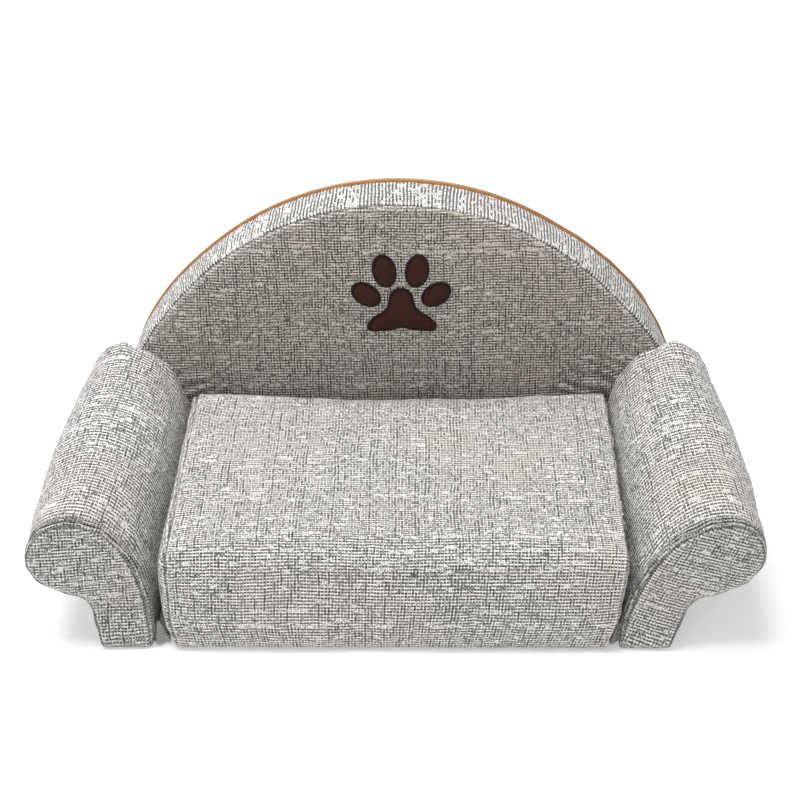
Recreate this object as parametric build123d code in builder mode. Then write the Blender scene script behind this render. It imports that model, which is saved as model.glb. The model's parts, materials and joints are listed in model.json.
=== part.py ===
from build123d import *
from math import cos, radians, sin
import os

# A sofa-shaped pet bed. Two scroll arms and a half-moon backrest stand in a U on a thin base,
# and a thick loose cushion fills the U. Every upholstered piece is a cloth cover of its own over
# a foam block, with a stiff board inside the arms, the backrest and the base.
#
# Millimetres. The front faces -Y, +Z is up, and left and right are as seen from the front, so the
# right arm is at +X. The origin is on the floor, under the middle of the bed.

os.makedirs("parts", exist_ok=True)

# Driving dimensions
cloth = 1.0  # thickness of every cover
ease = 0.2  # room between a cover and its filling
board = 4.0  # thickness of the stiffening boards

# Base
grip_sheet_thickness = 1.2
liner_thickness = 0.8
binding_width = 4.0
base_front_setback = 14.0
base_half_width = 270.0
base_back_half_width = 298.0
base_corner = 8.0
base_top = grip_sheet_thickness + board + liner_thickness

# Backrest: a slab whose outline is an arc, leaning back a little
back_lean = 1.0
back_radius = 307.0
back_centre_height = 8.5
back_thickness = 70.0
back_front_distance = 332.0  # from the front of the bed to the foot of the backrest
back_board_depth = 34.0
back_board_inset = 6.0

# Cushion
cushion_half_width = 222.5
cushion_depth = 322.0
cushion_lift = 0.3
cushion_top = 102.0
cushion_crown = 5.0
cushion_edge_radius = 14.0

# Arms: a scroll on a narrower foot, given at the front end as (across, up)
arm_foot = 227.0, base_top + ease / 2
arm_inner_side = 234.0, 51.0
arm_shoulder = 253.0, 105.0
arm_top = 306.0, 142.0
arm_outermost = 350.5, 107.0
arm_underside = 333.0, 70.5
arm_lip = 303.0, 58.5
arm_neck = 286.0, 41.0
arm_heel = 277.0, base_top + ease / 2
arm_toe_in = 18.0  # how far the top leans inward at the rear end
arm_rise = 7.0  # how much higher the top is at the rear end
arm_board_place = 260.0
arm_board_top = 95.0
arm_board_end_gap = 15.0

# Zips
tape_width = 4.0
tape_thickness = 0.7
coil_width = 3.0
coil_height = 1.4
zip_edge_distance = 5.0  # from the rear face of the backrest to the middle of the zip
zip_start_angle = 17.0  # above the horizontal, at both ends of the backrest's zip
stop_angle = 0.7
stop_over_coil = 0.6
slider_wait_angle = 1.05  # from the end of the coil to the middle of the waiting slider
slider_length = 9.0
slider_width = 7.0
slider_height = 3.6
slider_corner = 2.0
slider_clearance = 0.3
bridge_radius = 0.8
pull_room = 0.4  # between the slider's top and the bridge's pull
ear_thickness = 1.0
ear_radius = 1.5
ear_sink = 0.4  # how far the ears go into the slider
eye_wall = 0.9
neck_beyond_slider = 1.5
pull_length = 22.0
pull_width = 5.0
pull_thickness = 1.2
pull_clearance = 0.06
pull_slot_place = 8.0  # from the tag's end to the middle of its finger slot
pull_droop = 9.0  # how far the backrest's pull tips towards the cloth at rest
cushion_zip_half_length = 195.0
cushion_zip_height = 42.0
cushion_tape_width = 20.0
cushion_tape_corner = 2.0
coil_end_gap = 8.0
cushion_stop_length = 3.0
stud_radius = 1.0
stud_head_radius = 1.9
stud_head_thickness = 0.7
stud_sink = 0.1
pull_lift = 0.15  # between the slider's top and the hanging pull

# Paw motif on the backrest, in the plane of its front
paw_across = 6.0
paw_toes = {
    "outer_left": (-37.5, 213.0, 17.5, 12.5, 142.0),
    "inner_left": (-17.5, 241.0, 19.5, 12.5, 100.0),
    "inner_right": (17.5, 241.0, 19.5, 12.5, 80.0),
    "outer_right": (37.5, 213.0, 17.5, 12.5, 38.0),
}
patch_thickness = 1.0
stitch_width = 1.8
stitch_thickness = 1.5

lean_cos = cos(radians(back_lean))
lean_sin = sin(radians(back_lean))
overall_depth = (
    back_front_distance
    + back_thickness * lean_cos
    + (back_centre_height + back_radius) * lean_sin
)
front = -overall_depth / 2
back_foot = front + back_front_distance

# The backrest's front face: x across, y up the face, and depths run to the rear
back_face = Plane(
    origin=(0, back_foot, 0), x_dir=(1, 0, 0), z_dir=(0, -lean_cos, lean_sin)
)


def save(piece, name):
    """Label a finished piece and write its file."""
    piece.part.label = name
    export_step(piece.part, f"parts/{name}.step")


# ---- Base ------------------------------------------------------------------


def base_outline(height, inset):
    """The footprint: a panel under the seat and arms, and a wider one under the backrest."""
    low = front + base_front_setback
    high = back_foot + back_thickness - inset
    middle = back_foot - base_corner
    with BuildSketch(Plane.XY.offset(height)) as sketch:
        with Locations((0, (low + high) / 2)):
            RectangleRounded(2 * base_half_width, high - low, base_corner)
        with Locations((0, (middle + high) / 2)):
            RectangleRounded(2 * base_back_half_width, high - middle, base_corner)
        if inset:
            offset(amount=-inset, kind=Kind.INTERSECTION)
    return sketch.sketch


with BuildPart() as base_grip_sheet:
    extrude(base_outline(0, 0), amount=grip_sheet_thickness)
save(base_grip_sheet, "base_grip_sheet")

with BuildPart() as base_board:
    extrude(base_outline(grip_sheet_thickness, binding_width + ease), amount=board)
save(base_board, "base_board")

with BuildPart() as base_edge_binding:
    extrude(base_outline(grip_sheet_thickness, 0), amount=board)
    extrude(
        base_outline(grip_sheet_thickness, binding_width),
        amount=board,
        mode=Mode.SUBTRACT,
    )
save(base_edge_binding, "base_edge_binding")

with BuildPart() as base_liner:
    extrude(base_outline(grip_sheet_thickness + board, 0), amount=liner_thickness)
save(base_liner, "base_liner")


# ---- Backrest --------------------------------------------------------------


def half_moon(depth, radius):
    """The backrest's outline at a depth behind its front face, as a full disc."""
    with BuildSketch(back_face.offset(-depth)) as sketch:
        with Locations((0, back_centre_height)):
            Circle(radius)
    return sketch.sketch


def arc_band(depth, inner, outer, start, end):
    """A strip of the backrest's rim, between two radii and two angles above the horizontal."""
    centre = (0, back_centre_height)
    with BuildSketch(back_face.offset(-depth)) as sketch:
        with BuildLine():
            far = CenterArc(centre, outer, start, end - start)
            near = CenterArc(centre, inner, start, end - start)
            Line(far @ 0, near @ 0)
            Line(far @ 1, near @ 1)
        make_face()
    return sketch.sketch


def rest_on_base(height=base_top):
    """Cut the active piece off level where it stands on the base."""
    split(bisect_by=Plane.XY.offset(height), keep=Keep.TOP)


back_slabs = {
    "back_front_panel": (0, cloth, back_radius),
    "back_front_foam": (
        cloth + ease,
        back_board_depth - ease,
        back_radius - cloth - ease,
    ),
    "back_board": (
        back_board_depth,
        back_board_depth + board,
        back_radius - back_board_inset,
    ),
    "back_rear_foam": (
        back_board_depth + board + ease,
        back_thickness - cloth - ease,
        back_radius - cloth - ease,
    ),
    "back_rear_panel": (back_thickness - cloth, back_thickness, back_radius),
}
for slab_name, (near_depth, far_depth, radius) in back_slabs.items():
    with BuildPart() as back_slab:
        extrude(half_moon(near_depth, radius), amount=near_depth - far_depth)
        rest_on_base()
    save(back_slab, slab_name)

# The zip lies in a notch at the rear edge of the gusset
zip_depth = back_thickness - zip_edge_distance
zip_near = zip_depth - tape_width
zip_far = zip_depth + tape_width
zip_end_angle = 180 - zip_start_angle
tape_outside = back_radius - cloth + tape_thickness

with BuildPart() as back_gusset:
    extrude(half_moon(cloth, back_radius), amount=2 * cloth - back_thickness)
    extrude(
        half_moon(cloth, back_radius - cloth),
        amount=2 * cloth - back_thickness,
        mode=Mode.SUBTRACT,
    )
    extrude(
        arc_band(
            zip_near,
            back_radius - 2 * cloth,
            back_radius + cloth,
            zip_start_angle,
            zip_end_angle,
        ),
        amount=zip_near - zip_far,
        mode=Mode.SUBTRACT,
    )
    rest_on_base()
save(back_gusset, "back_gusset")

for tape_name, tape_start in (
    ("back_zip_tape_front", zip_near),
    ("back_zip_tape_rear", zip_depth),
):
    with BuildPart() as back_zip_tape:
        extrude(
            arc_band(
                tape_start,
                back_radius - cloth,
                tape_outside,
                zip_start_angle,
                zip_end_angle,
            ),
            amount=-tape_width,
        )
    save(back_zip_tape, tape_name)

with BuildPart() as back_zip_coil:
    extrude(
        arc_band(
            zip_depth - coil_width / 2,
            tape_outside,
            tape_outside + coil_height,
            zip_start_angle + 2 * stop_angle,
            zip_end_angle - 2 * stop_angle,
        ),
        amount=-coil_width,
    )
save(back_zip_coil, "back_zip_coil")

with BuildPart() as back_zip_stops:
    for stop_start in (
        zip_start_angle + stop_angle,
        zip_end_angle - 2 * stop_angle,
    ):
        extrude(
            arc_band(
                zip_depth - slider_width / 2,
                tape_outside,
                tape_outside + coil_height + stop_over_coil,
                stop_start,
                stop_start + stop_angle,
            ),
            amount=-slider_width,
        )
save(back_zip_stops, "back_zip_stops")


# ---- Zip sliders -----------------------------------------------------------
# A slider is drawn on a seat plane that lies on the tape's outside: x runs along the zip, y across
# it and z away from the cloth.

tunnel_half = coil_width / 2 + slider_clearance
tunnel_height = coil_height + slider_clearance


def slider_body(seat):
    """The slider: a rounded block with a tunnel for the coil, tapered towards its nose."""
    with BuildSketch(seat.offset(slider_clearance)) as outline:
        RectangleRounded(slider_length, slider_width, slider_corner)
    extrude(outline.sketch, amount=slider_height - slider_clearance)
    with BuildSketch(seat) as tunnel:
        Rectangle(2 * slider_length, 2 * tunnel_half)
    extrude(tunnel.sketch, amount=tunnel_height, mode=Mode.SUBTRACT)


def pull_tag(plane, hole_radius):
    """A pull tag that runs along x from its round end, with a finger slot near the far end."""
    with BuildSketch(plane) as outline:
        with Locations(((pull_length - pull_width) / 2, 0)):
            SlotOverall(pull_length, pull_width)
        with Locations((pull_length - pull_slot_place, 0)):
            SlotOverall(pull_width, pull_width / 3, mode=Mode.SUBTRACT)
        if hole_radius:
            Circle(hole_radius, mode=Mode.SUBTRACT)
    return outline.sketch


# The backrest's slider waits at the lower right end, against its stop
slider_angle = zip_start_angle + 2 * stop_angle + slider_wait_angle
slider_radians = radians(slider_angle)
seat_up = Vector(0, lean_sin, lean_cos)
seat_across = Vector(0, lean_cos, -lean_sin)
seat_radial = Vector(1, 0, 0) * cos(slider_radians) + seat_up * sin(slider_radians)
seat_tangent = seat_up * cos(slider_radians) - Vector(1, 0, 0) * sin(slider_radians)
back_arc_centre = Vector(0, back_foot, 0) + seat_up * back_centre_height
back_seat = Plane(
    origin=back_arc_centre + seat_across * zip_depth + seat_radial * tape_outside,
    x_dir=seat_tangent,
    z_dir=seat_radial,
)
bridge_height = slider_height + 2 * bridge_radius + pull_room
bridge_bar = back_seat.from_local_coords((0, 0, bridge_height))
ear_place = pull_width / 2 - ear_thickness / 2
ear_start = slider_height - ear_sink

with BuildPart() as back_zip_slider:
    slider_body(back_seat)
    # Two ears carry the bridge bar that the pull swings on
    for side in (-1, 1):
        ear_plane = Plane(
            origin=back_seat.from_local_coords((0, side * ear_place, 0)),
            x_dir=back_seat.x_dir,
            z_dir=back_seat.y_dir,
        )
        with BuildSketch(ear_plane) as ear:
            with Locations((0, -(ear_start + bridge_height) / 2)):
                Rectangle(2 * ear_radius, bridge_height - ear_start)
            with Locations((0, -bridge_height)):
                Circle(ear_radius)
        extrude(ear.sketch, amount=ear_thickness / 2, both=True)
    bar_plane = Plane(origin=bridge_bar, x_dir=back_seat.x_dir, z_dir=back_seat.y_dir)
    with BuildSketch(bar_plane) as bar:
        Circle(bridge_radius)
    extrude(bar.sketch, amount=ear_place, both=True)
save(back_zip_slider, "back_zip_slider")

# Its pull lies down the slope: an eye round the bridge bar, a neck and a flat tag beyond it
droop = radians(pull_droop)
pull_along = seat_tangent * -cos(droop) - seat_radial * sin(droop)
pull_normal = seat_radial * cos(droop) - seat_tangent * sin(droop)
pull_seat = Plane(origin=bridge_bar, x_dir=pull_along, z_dir=pull_normal)
neck_length = slider_length / 2 + neck_beyond_slider
eye_radius = bridge_radius + eye_wall
eye_half_width = ear_place - ear_thickness / 2 - slider_clearance

with BuildPart() as back_zip_pull:
    eye_plane = Plane(
        origin=bridge_bar, x_dir=pull_seat.x_dir, z_dir=pull_seat.y_dir
    )
    with BuildSketch(eye_plane) as eye:
        Circle(eye_radius)
        with Locations((neck_length / 2, 0)):
            Rectangle(neck_length, pull_thickness)
        Circle(bridge_radius + pull_clearance, mode=Mode.SUBTRACT)
    extrude(eye.sketch, amount=eye_half_width, both=True)
    tag_plane = Plane(
        origin=pull_seat.from_local_coords((neck_length, 0, -pull_thickness / 2)),
        x_dir=pull_seat.x_dir,
        z_dir=pull_seat.z_dir,
    )
    extrude(pull_tag(tag_plane, 0), amount=pull_thickness)
save(back_zip_pull, "back_zip_pull")


# ---- Paw motif -------------------------------------------------------------


paw_plane = Plane(
    origin=back_face.from_local_coords((paw_across, 0, 0)),
    x_dir=back_face.x_dir,
    z_dir=back_face.z_dir,
)


def paw_pad_outline(inset):
    """The pad: a bell with a round top, flared sides and two shallow lobes below."""
    with BuildSketch(paw_plane) as sketch:
        with BuildLine():
            run = TangentArc((0, 221), (13, 208), tangent=(1, 0))
            for spot in ((24, 190), (37, 177), (32, 169), (0, 174)):
                run = TangentArc(run @ 1, spot, tangent=run % 1)
            mirror(about=Plane.YZ)
        make_face()
        if inset:
            offset(amount=-inset, kind=Kind.INTERSECTION)
    return sketch.sketch


def paw_toe_outline(toe, inset):
    """One oval toe."""
    across, up, long_radius, short_radius, angle = toe
    with BuildSketch(paw_plane) as sketch:
        with Locations(Location((across, up), angle)):
            Ellipse(long_radius - inset, short_radius - inset)
    return sketch.sketch


with BuildPart() as paw_pad:
    extrude(paw_pad_outline(stitch_width), amount=patch_thickness)
save(paw_pad, "paw_pad")

for toe_name, toe in paw_toes.items():
    with BuildPart() as paw_toe:
        extrude(paw_toe_outline(toe, stitch_width), amount=patch_thickness)
    save(paw_toe, f"paw_toe_{toe_name}")

with BuildPart() as paw_edge_stitching:
    extrude(paw_pad_outline(0), amount=stitch_thickness)
    extrude(paw_pad_outline(stitch_width), amount=stitch_thickness, mode=Mode.SUBTRACT)
    for toe in paw_toes.values():
        extrude(paw_toe_outline(toe, 0), amount=stitch_thickness)
        inner = paw_toe_outline(toe, stitch_width)
        extrude(inner, amount=stitch_thickness, mode=Mode.SUBTRACT)
save(paw_edge_stitching, "paw_edge_stitching")


# ---- Arms ------------------------------------------------------------------


def towards_rear(point, share):
    """An outline point moved by the arm's toe-in and rise, by a share of its length."""
    across, up = point
    height_share = up / arm_top[1]
    return (
        across - share * arm_toe_in * height_share,
        up + share * arm_rise * (up - arm_foot[1]) / (arm_top[1] - arm_foot[1]),
    )


def arm_section(plane, share, inset):
    """The scroll outline of the right arm on a plane across it."""
    spots = [
        towards_rear(point, share)
        for point in (
            arm_foot,
            arm_inner_side,
            arm_shoulder,
            arm_top,
            arm_outermost,
            arm_underside,
            arm_lip,
            arm_neck,
            arm_heel,
        )
    ]
    with BuildSketch(plane) as sketch:
        with BuildLine():
            run = ThreePointArc(spots[0], spots[1], spots[2])
            for spot in spots[3:]:
                run = TangentArc(run @ 1, spot, tangent=run % 1)
            Line(spots[-1], spots[0])
        make_face()
        if inset:
            offset(amount=-inset, kind=Kind.INTERSECTION)
    return sketch.sketch


def arm_block(front_gap, rear_gap, inset, mode=Mode.ADD):
    """A stretch of the arm between its front end and the backrest."""
    near = arm_section(Plane.XZ.offset(-front - front_gap), 0, inset)
    far = arm_section(back_face.offset(rear_gap), 1, inset)
    loft([near, far], ruled=True, mode=mode)


with BuildPart() as arm_wrap:
    arm_block(cloth, cloth + ease, 0)
    arm_block(cloth, cloth + ease, cloth, mode=Mode.SUBTRACT)

with BuildPart() as arm_front_panel:
    extrude(arm_section(Plane.XZ.offset(-front), 0, 0), amount=-cloth)

with BuildPart() as arm_rear_panel:
    extrude(arm_section(back_face.offset(ease), 1, 0), amount=cloth)

arm_board_low = arm_foot[1] + cloth + ease
arm_board_front = front + arm_board_end_gap
arm_board_rear = back_foot - arm_board_end_gap


def arm_board_block(around, mode):
    """The board's space inside the arm, grown by an ease around it."""
    with BuildSketch(Plane.XY.offset(arm_board_low - around)) as outline:
        with Locations((arm_board_place, (arm_board_front + arm_board_rear) / 2)):
            Rectangle(
                board + 2 * around, arm_board_rear - arm_board_front + 2 * around
            )
    extrude(
        outline.sketch, amount=arm_board_top - arm_board_low + 2 * around, mode=mode
    )


with BuildPart() as arm_core:
    arm_block(cloth + ease, cloth + 2 * ease, cloth + ease)
    arm_board_block(ease, Mode.SUBTRACT)

with BuildPart() as arm_board:
    arm_board_block(0, Mode.ADD)

arm_pieces = {
    "arm_wrap": arm_wrap,
    "arm_front_panel": arm_front_panel,
    "arm_rear_panel": arm_rear_panel,
    "arm_core": arm_core,
    "arm_board": arm_board,
}
for piece_name, right_piece in arm_pieces.items():
    save(right_piece, f"right_{piece_name}")
    with BuildPart() as left_piece:
        mirror(right_piece.part, about=Plane.YZ)
    save(left_piece, f"left_{piece_name}")


# ---- Cushion ---------------------------------------------------------------

cushion_bottom = base_top + cushion_lift
cushion_rear = front + cushion_depth


def cushion_section(place, inset):
    """The cushion's outline seen from its side: soft corners and a crowned top."""
    with BuildSketch(Plane.YZ.offset(place)) as sketch:
        with BuildLine():
            ThreePointArc(
                (front, cushion_top),
                ((front + cushion_rear) / 2, cushion_top + cushion_crown),
                (cushion_rear, cushion_top),
            )
            Polyline(
                (front, cushion_top),
                (front, cushion_bottom),
                (cushion_rear, cushion_bottom),
                (cushion_rear, cushion_top),
            )
        make_face()
        fillet(sketch.vertices(), radius=cushion_edge_radius)
        if inset:
            offset(amount=-inset, kind=Kind.INTERSECTION)
    return sketch.sketch


wrap_half = cushion_half_width - cloth
core_half = wrap_half - ease

with BuildPart() as cushion_wrap:
    extrude(cushion_section(-wrap_half, 0), amount=2 * wrap_half)
    extrude(cushion_section(-wrap_half, cloth), amount=2 * wrap_half, mode=Mode.SUBTRACT)
save(cushion_wrap, "cushion_wrap")

with BuildPart() as cushion_core:
    extrude(cushion_section(-core_half, cloth + ease), amount=2 * core_half)
save(cushion_core, "cushion_core")

for panel_name, panel_start in (
    ("cushion_left_panel", -cushion_half_width),
    ("cushion_right_panel", wrap_half),
):
    with BuildPart() as cushion_panel:
        extrude(cushion_section(panel_start, 0), amount=cloth)
    save(cushion_panel, panel_name)

# The cushion's zip runs along its rear face, low down. Seat plane: x along, z to the rear.
cushion_face = Plane(
    origin=(0, cushion_rear, cushion_zip_height), x_dir=(1, 0, 0), z_dir=(0, 1, 0)
)
cushion_zip_face = cushion_face.offset(tape_thickness)

with BuildPart() as cushion_zip_tape:
    with BuildSketch(cushion_face):
        RectangleRounded(
            2 * cushion_zip_half_length, cushion_tape_width, cushion_tape_corner
        )
    extrude(amount=tape_thickness)
save(cushion_zip_tape, "cushion_zip_tape")

coil_half_length = cushion_zip_half_length - coil_end_gap
with BuildPart() as cushion_zip_coil:
    with BuildSketch(cushion_zip_face):
        Rectangle(2 * coil_half_length, coil_width)
    extrude(amount=coil_height)
save(cushion_zip_coil, "cushion_zip_coil")

stop_place = coil_half_length + cushion_stop_length / 2
with BuildPart() as cushion_zip_stops:
    with BuildSketch(cushion_zip_face):
        with Locations((-stop_place, 0), (stop_place, 0)):
            Rectangle(cushion_stop_length, 2 * coil_width)
    extrude(amount=coil_height + stop_over_coil)
save(cushion_zip_stops, "cushion_zip_stops")

# Its slider waits at the right end, with the pull hanging from a headed stud
slider_place = coil_half_length - slider_length / 2 - ease
cushion_seat = Plane(
    origin=cushion_zip_face.from_local_coords((slider_place, 0, 0)),
    x_dir=(1, 0, 0),
    z_dir=(0, 1, 0),
)
stud_height = slider_height + pull_thickness + 2 * pull_lift

with BuildPart() as cushion_zip_slider:
    slider_body(cushion_seat)
    with BuildSketch(cushion_seat.offset(slider_height - stud_sink)) as stud:
        Circle(stud_radius)
    extrude(stud.sketch, amount=stud_height - slider_height + 2 * stud_sink)
    with BuildSketch(cushion_seat.offset(stud_height)) as stud_head:
        Circle(stud_head_radius)
    extrude(stud_head.sketch, amount=stud_head_thickness)
save(cushion_zip_slider, "cushion_zip_slider")

hanging_plane = Plane(
    origin=cushion_seat.from_local_coords((0, 0, slider_height + pull_lift)),
    x_dir=(0, 0, -1),
    z_dir=(0, 1, 0),
)
with BuildPart() as cushion_zip_pull:
    extrude(pull_tag(hanging_plane, stud_radius + pull_clearance), amount=pull_thickness)
save(cushion_zip_pull, "cushion_zip_pull")

# ---- Care label ------------------------------------------------------------
# A blank folded tab sewn into the lower rear seam of the backrest

label_width = 24.0
label_length = 34.0
label_thickness = 0.5
label_corner = 1.5
label_across = -190.0
label_up = 40.0
with BuildPart() as care_label:
    with BuildSketch(back_face.offset(-back_thickness)):
        with Locations((label_across, label_up)):
            RectangleRounded(label_width, label_length, label_corner)
    extrude(amount=-label_thickness)
save(care_label, "care_label")
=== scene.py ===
import json
import math

import bmesh
import bpy
import numpy as np
from mathutils import Matrix, Vector, noise
from mathutils.bvhtree import BVHTree
from mathutils.geometry import delaunay_2d_cdt


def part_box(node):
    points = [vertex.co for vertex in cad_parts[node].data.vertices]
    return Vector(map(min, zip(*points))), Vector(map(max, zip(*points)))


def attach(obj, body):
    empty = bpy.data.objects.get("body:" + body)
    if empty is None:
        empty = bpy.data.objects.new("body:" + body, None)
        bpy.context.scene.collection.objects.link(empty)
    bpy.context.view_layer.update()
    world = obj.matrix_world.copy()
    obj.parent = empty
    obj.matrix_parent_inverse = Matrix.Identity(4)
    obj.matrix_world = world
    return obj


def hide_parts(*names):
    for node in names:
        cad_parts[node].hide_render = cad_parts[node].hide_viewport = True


# The looks of a sofa-shaped pet bed: puffed cloth covers with seams, a zip, an applique paw and
# woven materials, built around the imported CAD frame. Metres; the front faces -Y and +Z is up.

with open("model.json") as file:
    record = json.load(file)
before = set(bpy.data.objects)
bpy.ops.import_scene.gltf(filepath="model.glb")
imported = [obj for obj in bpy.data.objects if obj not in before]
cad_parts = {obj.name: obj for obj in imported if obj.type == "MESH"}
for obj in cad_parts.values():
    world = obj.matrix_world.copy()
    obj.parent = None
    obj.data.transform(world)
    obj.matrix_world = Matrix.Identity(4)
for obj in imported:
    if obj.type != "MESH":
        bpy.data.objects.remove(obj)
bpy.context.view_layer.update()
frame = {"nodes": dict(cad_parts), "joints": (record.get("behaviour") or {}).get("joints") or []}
MM = 0.001

# How full the covers are
puff_cap = {"seat": 6 * MM, "back": 5 * MM, "arm": 4 * MM}
pressure = 4.0
sim_frames = 20

# Cloth
thread_pitch = 1.6 * MM
seam_rings = (1.6 * MM, 3.4 * MM, 6.0 * MM)  # rows of points beside every seam
grid = 5 * MM


# ---- Reading the frame -------------------------------------------------------


def node_points(node):
    return np.array([v.co for v in frame["nodes"][node].data.vertices])


def span(node, direction):
    """The lowest and highest place of a CAD node along a direction."""
    run = node_points(node) @ np.array(direction)
    return run.min(), run.max()


def outline_of(node, direction):
    """The edge of a CAD node's flat side that looks in a direction, as one closed line of points."""
    bm = bmesh.new()
    bm.from_mesh(frame["nodes"][node].data)
    bmesh.ops.remove_doubles(bm, verts=bm.verts, dist=1e-6)
    bm.normal_update()
    looks = {f.index for f in bm.faces if f.normal.dot(direction) > 0.999}
    edges = [e for e in bm.edges if sum(f.index in looks for f in e.link_faces) == 1]
    open_edges = {e.index for e in edges}
    line = list(edges[0].verts)
    open_edges.discard(edges[0].index)
    while True:
        step = [e for e in line[-1].link_edges if e.index in open_edges]
        if not step:
            break
        open_edges.discard(step[0].index)
        line.append(step[0].other_vert(line[-1]))
    points = np.array([v.co for v in line])
    bm.free()
    return points[:-1] if np.allclose(points[0], points[-1]) else points


# ---- Lines and surfaces --------------------------------------------------------


def resample(points, count, closed=False):
    """Evenly spaced points along a line of points."""
    line = np.vstack([points, points[:1]]) if closed else np.asarray(points)
    run = np.concatenate([[0], np.cumsum(np.linalg.norm(np.diff(line, axis=0), axis=1))])
    stops = np.linspace(0, run[-1], count + 1 if closed else count)
    out = np.stack([np.interp(stops, run, line[:, k]) for k in range(line.shape[1])], 1)
    return out[:-1] if closed else out


def lengths(points):
    """The distance run along a closed line at each point, and the whole length as the last value."""
    line = np.vstack([points, points[:1]])
    return np.concatenate([[0], np.cumsum(np.linalg.norm(np.diff(line, axis=0), axis=1))])


def unit(vectors):
    return vectors / np.linalg.norm(vectors, axis=1, keepdims=True)


def counterclockwise(line, plane=(0, 1)):
    """A closed line of points, reversed where needed to run counterclockwise in two of its axes."""
    flat = line[:, plane]
    turned = np.roll(flat, -1, 0)
    area = (flat[:, 0] * turned[:, 1] - flat[:, 1] * turned[:, 0]).sum()
    return line[::-1] if area < 0 else line


def inward(outline):
    """The unit normals that point into a closed plane outline that runs counterclockwise."""
    tangent = unit(np.roll(outline, -1, 0) - np.roll(outline, 1, 0))
    return np.stack([-tangent[:, 1], tangent[:, 0]], 1)


def edge_distance(points, outline):
    """How far each plane point is from a closed outline."""
    a, b = outline, np.roll(outline, -1, 0)
    d = b - a
    best = np.full(len(points), np.inf)
    for start, step in zip(a, d):
        t = np.clip(((points - start) @ step) / max(step @ step, 1e-12), 0, 1)
        gap = points - (start + t[:, None] * step)
        best = np.minimum(best, np.einsum("ij,ij->i", gap, gap))
    return np.sqrt(best)


def inside(points, outline):
    """Which plane points lie inside a closed outline."""
    x, y = points[:, 0], points[:, 1]
    result = np.zeros(len(points), bool)
    for (x1, y1), (x2, y2) in zip(outline, np.roll(outline, -1, 0)):
        crosses = (y1 > y) != (y2 > y)
        at = x1 + (y - y1) / ((y2 - y1) or 1e-12) * (x2 - x1)
        result ^= crosses & (x < at)
    return result


def fill_outline(outline, spacing, rings):
    """Points inside an outline, denser beside it, and the triangles that join them all."""
    near = inward(outline)
    inner = [outline + near * depth for depth in rings]
    low, high = outline.min(0), outline.max(0)
    spots = []
    for k, y in enumerate(np.arange(low[1], high[1], spacing * 0.87)):
        spots += [(x, y) for x in np.arange(low[0] + (k % 2) * spacing / 2, high[0], spacing)]
    spots = np.array(spots)
    spots = spots[inside(spots, outline)]
    reach = (rings[-1] if rings else 0) + spacing * 0.6
    spots = spots[edge_distance(spots, outline) > reach]
    for depth, ring in zip(rings, inner):
        fits = inside(ring, outline) & (edge_distance(ring, outline) > depth * 0.93)
        spots = np.vstack([spots, ring[fits]])
    flat = np.vstack([outline, spots])
    count = len(outline)
    edges = [(k, (k + 1) % count) for k in range(count)]
    _, _, faces, origin, _, _ = delaunay_2d_cdt([Vector(p) for p in flat], edges, [], 1, 1e-7)
    back = [min(o) for o in origin]
    return flat[count:], [[back[k] for k in face] for face in faces]


def linked(name, data):
    """A new object in the scene."""
    obj = bpy.data.objects.new(name, data)
    bpy.context.scene.collection.objects.link(obj)
    return obj


def new_object(name, verts, faces):
    mesh = bpy.data.meshes.new(name)
    mesh.from_pydata([tuple(v) for v in verts], [], [tuple(f) for f in faces])
    mesh.shade_smooth()
    return linked(name, mesh)


def add_tube(verts, faces, rings):
    """Adds rings of points, and the quads that join each to the next, to lists of both."""
    base, sides = len(verts), len(rings[0])
    for ring in rings:
        verts.extend(ring)
    for row in range(base, base + (len(rings) - 1) * sides, sides):
        for k in range(sides):
            m = (k + 1) % sides
            faces.append((row + k, row + sides + k, row + sides + m, row + m))


def sweep(name, places, across, height, profile, closed=False, taper=None):
    """A solid strip: a closed profile of (across, height) points carried along a line of places.

    across and height are the profile's directions, one for all places or one for each."""
    count, rows = len(profile), len(places)
    across, height = (np.broadcast_to(way, (rows, 3)) for way in (across, height))
    taper = np.ones(rows) if taper is None else taper
    verts = [
        p + (a * x + h * z) * t
        for p, x, z, t in zip(places, across, height, taper)
        for a, h in profile
    ]
    run = lengths(places)
    widths = lengths(np.array(profile))
    edge = [min(a - min(profile)[0], max(profile)[0] - a) for a, _ in profile]
    faces, threads = [], []
    for j in range(rows if closed else rows - 1):
        k = (j + 1) % rows
        for i in range(count):
            m = (i + 1) % count
            faces.append((j * count + i, k * count + i, k * count + m, j * count + m))
            threads += [
                (run[j], widths[i], edge[i]),
                (run[j + 1], widths[i], edge[i]),
                (run[j + 1], widths[i + 1], edge[m]),
                (run[j], widths[i + 1], edge[m]),
            ]
    if not closed:
        for first, step in ((0, 1), ((rows - 1) * count, -1)):
            faces.append(tuple(first + i for i in range(count)[::step]))
            threads += [(run[-1] if first else 0, widths[i], edge[i]) for i in range(count)[::step]]
    obj = new_object(name, verts, faces)
    set_threads(obj.data, threads)
    return obj


def border(obj):
    """The open edge of a panel as one closed line of vertex numbers."""
    uses = {}
    for polygon in obj.data.polygons:
        for key in polygon.edge_keys:
            uses[key] = uses.get(key, 0) + 1
    follow = {}
    for a, b in sorted(key for key, count in uses.items() if count == 1):
        follow.setdefault(a, []).append(b)
        follow.setdefault(b, []).append(a)
    line = [min(follow)]
    while True:
        step = [n for n in follow[line[-1]] if n not in line[-2:]]
        if not step or step[0] == line[0]:
            return line
        line.append(step[0])


def set_threads(mesh, per_corner):
    """Stores the cloth's own coordinates: along the strong threads, across them, and from the seam."""
    layer = mesh.attributes.new("threads", "FLOAT_VECTOR", "CORNER")
    layer.data.foreach_set("vector", np.asarray(per_corner, np.float32).ravel())


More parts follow.
